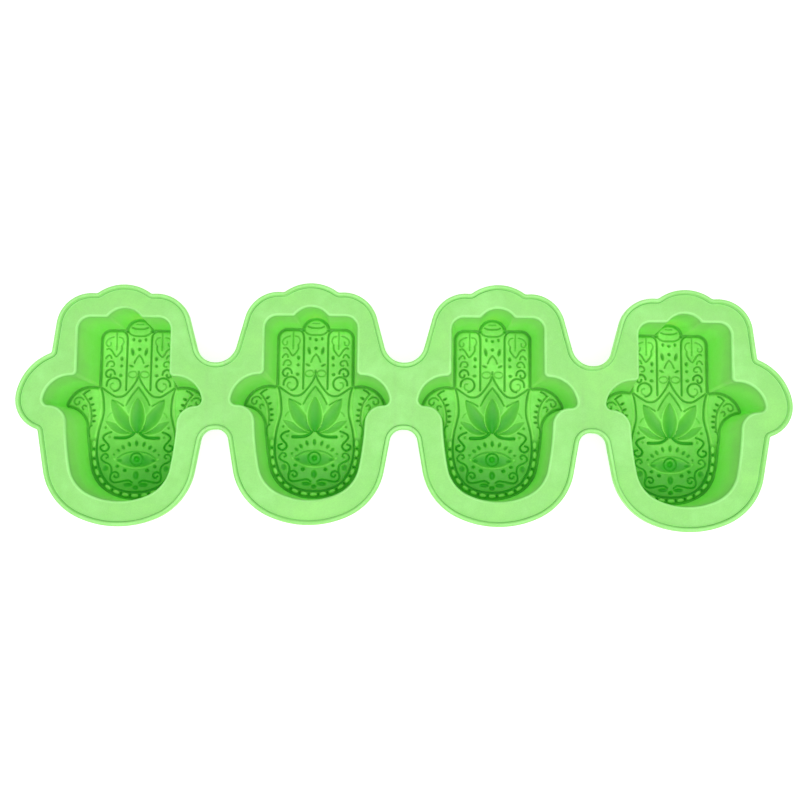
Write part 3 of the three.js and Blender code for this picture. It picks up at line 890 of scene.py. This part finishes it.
def flipped(chain):
    """A chain mirrored in x = 0, in the same sense of turn."""
    return chain[::-1] * (-1, 1)


def module_chains(left, right, inset):
    """The flange's edge round one cup, anticlockwise, as chains that stop at the webs."""
    rights, lefts = edge_chains(right, inset), [flipped(c) for c in edge_chains(left, inset)[::-1]]
    if left == right == "web":
        return [np.vstack([lefts[-1], rights[0][1:]]), np.vstack([rights[-1], lefts[0][1:]])]
    if right == "web":
        return [np.vstack([rights[-1], lefts[0][1:], rights[0][1:]])]
    return [np.vstack([lefts[-1], rights[0][1:], lefts[0][1:]])]


def cup_skin(number, material):
    """A cup with the flange round it, from the cut on its left to the cut on its right."""
    left = "end" if number == 1 else "web"
    right = "end" if number == CUPS else "web"
    skin = Skin()
    mouth = cup_inside(skin)
    wall_top = cup_outside(skin)
    rim_and_plate(skin, lambda inset: module_chains(left, right, inset), [mouth], [wall_top], PLATE_GRID)
    return skin.build(f"silicone_cup_{number}", CUP_X[number - 1], material)


def web_chains(inset):
    """The flange's edge along one web, measured from the web's middle: below it, and above it."""
    halves = []
    for centre, r, a_end, turn in ((*WEB_LOW[-1][:2], 90, 1), (*WEB_HIGH[0][:2], 270, -1)):
        radius = r + inset
        a_cut = 180 + turn * (math.degrees(math.acos((CUT - centre[0]) / radius)) - 180)
        angles = np.linspace(a_cut, a_end, WEB_STEPS + 1)
        halves.append(np.array([polar(centre, radius, a) for a in angles]) - (PITCH / 2, 0))
    low, high = halves
    return [np.vstack([low, flipped(low)]), np.vstack([high * (-1, 1), high[::-1]])]


def web_x(number):
    """The middle of the web after a cup."""
    return (CUP_X[number - 1] + CUP_X[number]) / 2


def web_skin(number, material):
    skin = Skin()
    rim_and_plate(skin, web_chains, [], [], WEB_GRID)
    return skin.build(f"silicone_web_{number}_{number + 1}", web_x(number), material)


# ---- material -----------------------------------------------------------------------------------

TONES = (  # tone and base colour; the tone paints light and shade into the colour
    (-0.9, (0.10, 0.42, 0.06)),  # painted shade in the crease at the foot of the rim
    (-0.4, (0.42, 0.90, 0.30)),  # painted highlights on edges
    (0.0, (0.30, 0.71, 0.19)),  # the flange
    (0.5, (0.40, 0.91, 0.22)),  # walls, painted lighter than the flange
    (0.8, (0.37, 0.90, 0.19)),
    (1.0, (0.27, 0.70, 0.135)),  # floor; from here the colour darkens with the tone, as painted shade deeper in the relief
    (1.35, (0.16, 0.54, 0.07)),
    (2.0, (0.03, 0.35, 0.012)),  # painted shade in the deepest grooves
)
# Between these two tones, the depth in mm that light goes into the silicone rises, and so does the share
# of the light that does.
DEEP_LIGHT = {"tones": (0.4, 0.6), "depth": (1.5, 5), "share": (0.3, 0.8)}
DEPTH_OF_COLOURS = (0.5, 1.0, 0.35)  # how far red, green and blue go, as a share of that depth
SPECULAR = 0.25  # the shader's specular level, where 0.5 is usual

# Noises: the size of their features in mm, how many times as tall as wide they are, the detail, and what
# the noise is turned into. Clouds and streaks add to the tone, and the speckle multiplies the colour.
CLOUDS = {"size": 22, "tall": 1, "detail": 3, "to": (-0.14, 0.14)}
STREAKS = {"size": 4, "tall": 8, "detail": 3, "to": (-0.05, 0.05)}
SPECKLE = {"size": 0.45, "tall": 1, "detail": 2, "to": (0.96, 1.04)}
ROUGHNESS = {"size": 5.5, "tall": 1, "detail": 4, "to": (0.36, 0.52)}
GRAIN = {"size": 0.65, "tall": 1, "detail": 3, "strength": 0.25, "height": 0.05}
SWELL = {"size": 14, "tall": 1, "detail": 1, "strength": 0.5, "height": 0.4}
NOISE_SPAN = (0.3, 0.7)  # most of a noise lies between these


def noise(tree, kind):
    """The value of a noise, from 0 to 1."""
    wide, high = kind["size"] * MM, kind["size"] * kind["tall"] * MM
    stretch = tree.nodes.new("ShaderNodeMapping")
    stretch.inputs["Scale"].default_value = (1 / wide, 1 / wide, 1 / high)
    tree.links.new(tree.nodes["Texture Coordinate"].outputs["Object"], stretch.inputs["Vector"])
    node = tree.nodes.new("ShaderNodeTexNoise")
    node.inputs["Scale"].default_value = 1.0
    node.inputs["Detail"].default_value = kind["detail"]
    tree.links.new(stretch.outputs["Vector"], node.inputs["Vector"])
    return node.outputs["Fac"]


def total(tree, *values):
    """The sum of several sockets."""
    result = values[0]
    for value in values[1:]:
        node = tree.nodes.new("ShaderNodeMath")
        tree.links.new(result, node.inputs[0])
        tree.links.new(value, node.inputs[1])
        result = node.outputs["Value"]
    return result


def bump(tree, kind, normal=None):
    """Bumps from a noise, on top of those in normal."""
    height = noise(tree, kind)
    node = tree.nodes.new("ShaderNodeBump")
    node.inputs["Strength"].default_value = kind["strength"]
    node.inputs["Distance"].default_value = kind["height"] * MM
    tree.links.new(height, node.inputs["Height"])
    if normal:
        tree.links.new(normal, node.inputs["Normal"])
    return node.outputs["Normal"]


def mapped(tree, value, span, to):
    """A socket's value, taken from one span to another and kept within it."""
    node = tree.nodes.new("ShaderNodeMapRange")
    node.inputs["From Min"].default_value, node.inputs["From Max"].default_value = span
    node.inputs["To Min"].default_value, node.inputs["To Max"].default_value = to
    tree.links.new(value, node.inputs["Value"])
    return node.outputs["Result"]


def varied(tree, kind):
    """A noise, turned into what its kind says."""
    return mapped(tree, noise(tree, kind), NOISE_SPAN, kind["to"])


def colour_ramp(tree, tone):
    """The base colour for a tone, from TONES."""
    low, high = TONES[0][0], TONES[-1][0]
    ramp = tree.nodes.new("ShaderNodeValToRGB")
    tree.links.new(mapped(tree, tone, (low, high), (0, 1)), ramp.inputs["Fac"])
    elements = ramp.color_ramp.elements
    elements[0].color = (*TONES[0][1], 1)
    elements[1].color = (*TONES[-1][1], 1)
    for value, colour in TONES[1:-1]:
        elements.new((value - low) / (high - low)).color = (*colour, 1)
    return ramp.outputs["Color"]


def silicone():
    """Green silicone that light enters a little. Its colour follows the tone of the mesh, which paints
    light and
    shade into it: shade further down in the cups and in the relief's hollows, highlights along edges, beads
    and raised lines."""
    material = bpy.data.materials.new("silicone")
    material.use_nodes = True
    tree = material.node_tree
    shader = tree.nodes["Principled BSDF"]
    shader.inputs["Subsurface Radius"].default_value = DEPTH_OF_COLOURS
    shader.inputs["Specular IOR Level"].default_value = SPECULAR
    tree.nodes.new("ShaderNodeTexCoord").name = "Texture Coordinate"

    attribute = tree.nodes.new("ShaderNodeAttribute")
    attribute.attribute_name = "tone"
    tone = attribute.outputs["Fac"]
    light_depth = mapped(tree, tone, DEEP_LIGHT["tones"], [depth * MM for depth in DEEP_LIGHT["depth"]])
    light_share = mapped(tree, tone, DEEP_LIGHT["tones"], DEEP_LIGHT["share"])
    tree.links.new(light_depth, shader.inputs["Subsurface Scale"])
    tree.links.new(light_share, shader.inputs["Subsurface Weight"])

    colour = colour_ramp(tree, total(tree, tone, varied(tree, CLOUDS), varied(tree, STREAKS)))
    speckle = tree.nodes.new("ShaderNodeHueSaturation")
    tree.links.new(colour, speckle.inputs["Color"])
    tree.links.new(varied(tree, SPECKLE), speckle.inputs["Value"])
    tree.links.new(speckle.outputs["Color"], shader.inputs["Base Color"])
    tree.links.new(varied(tree, ROUGHNESS), shader.inputs["Roughness"])
    tree.links.new(bump(tree, SWELL, bump(tree, GRAIN)), shader.inputs["Normal"])
    return material


# ---- stage, light and camera --------------------------------------------------------------------

STAGE_SIZE = 6  # in metres, like the light's place and size
STAGE_COLOUR = 0.6
STAGE_ROUGHNESS = 0.8
STAGE_GLOW = 0.7  # makes the floor as white as a cut-out's background
SKY = 0.72  # the strength of the white all round
KEY = {"at": (0.03, -0.22, 0.86), "size": 0.65, "power": 4.1}


def floor_plane():
    bpy.ops.mesh.primitive_plane_add(size=STAGE_SIZE, location=(0, 0, 0))
    floor = bpy.context.object
    floor.name = "floor"
    white = bpy.data.materials.new("floor_white")
    white.use_nodes = True
    shader = white.node_tree.nodes["Principled BSDF"]
    shader.inputs["Base Color"].default_value = (STAGE_COLOUR, STAGE_COLOUR, STAGE_COLOUR, 1)
    shader.inputs["Roughness"].default_value = STAGE_ROUGHNESS
    shader.inputs["Emission Color"].default_value = (1, 1, 1, 1)
    shader.inputs["Emission Strength"].default_value = STAGE_GLOW
    floor.data.materials.append(white)


def studio():
    """A white sky, and a square light over the cups that is turned to the middle of the strip."""
    world = bpy.data.worlds.new("studio")
    bpy.context.scene.world = world
    world.use_nodes = True
    background = world.node_tree.nodes["Background"]
    background.inputs["Color"].default_value = (1, 1, 1, 1)
    background.inputs["Strength"].default_value = SKY

    data = bpy.data.lights.new("key", "AREA")
    data.size = KEY["size"]
    data.energy = KEY["power"]
    light = bpy.data.objects.new("key", data)
    light.location = KEY["at"]
    light.rotation_euler = (-Vector(KEY["at"])).to_track_quat("-Z", "Y").to_euler()
    bpy.context.scene.collection.objects.link(light)
    bpy.context.scene.view_settings.view_transform = "Standard"


# Where the camera is, its turns from looking straight down in degrees, and its focal length.
CAMERA = {"at": (-1.04, -36.32, 431.93), "pitch": 5.44, "yaw": 0.01, "roll": 0.58, "focal": 47.26}
SENSOR = 36  # the sensor's width


def camera():
    data = bpy.data.cameras.new("camera")
    data.lens = CAMERA["focal"]
    data.sensor_width = SENSOR
    obj = bpy.data.objects.new("camera", data)
    obj.location = Vector(CAMERA["at"]) * MM
    obj.rotation_euler = [math.radians(CAMERA[turn]) for turn in ("pitch", "yaw", "roll")]
    bpy.context.scene.collection.objects.link(obj)
    bpy.context.scene.camera = obj


# ---- the scene ----------------------------------------------------------------------------------

# The floors are all alike, so their relief is worked out once.
FLOOR_POINTS = grid_inside(hand_ring(0, shape=FLOOR), GRID, "floor")
# the floors' depth, and the painted shade and highlight of their relief
FLOOR_SUNK, FLOOR_PAINTED_SHADE_AND_HIGHLIGHT = relief(FLOOR_POINTS[:, 0], FLOOR_POINTS[:, 1])
SILICONE = silicone()
for number in range(1, CUPS + 1):
    cup = cup_skin(number, SILICONE)
    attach(cup, f"cup_{number}")
    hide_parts(f"flange_{number}", f"cup_wall_{number}", f"cup_floor_{number}")
for number in range(1, CUPS):
    web = web_skin(number, SILICONE)
    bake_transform(web)
    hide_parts(f"web_{number}_{number + 1}")
floor_plane()
studio()
camera()
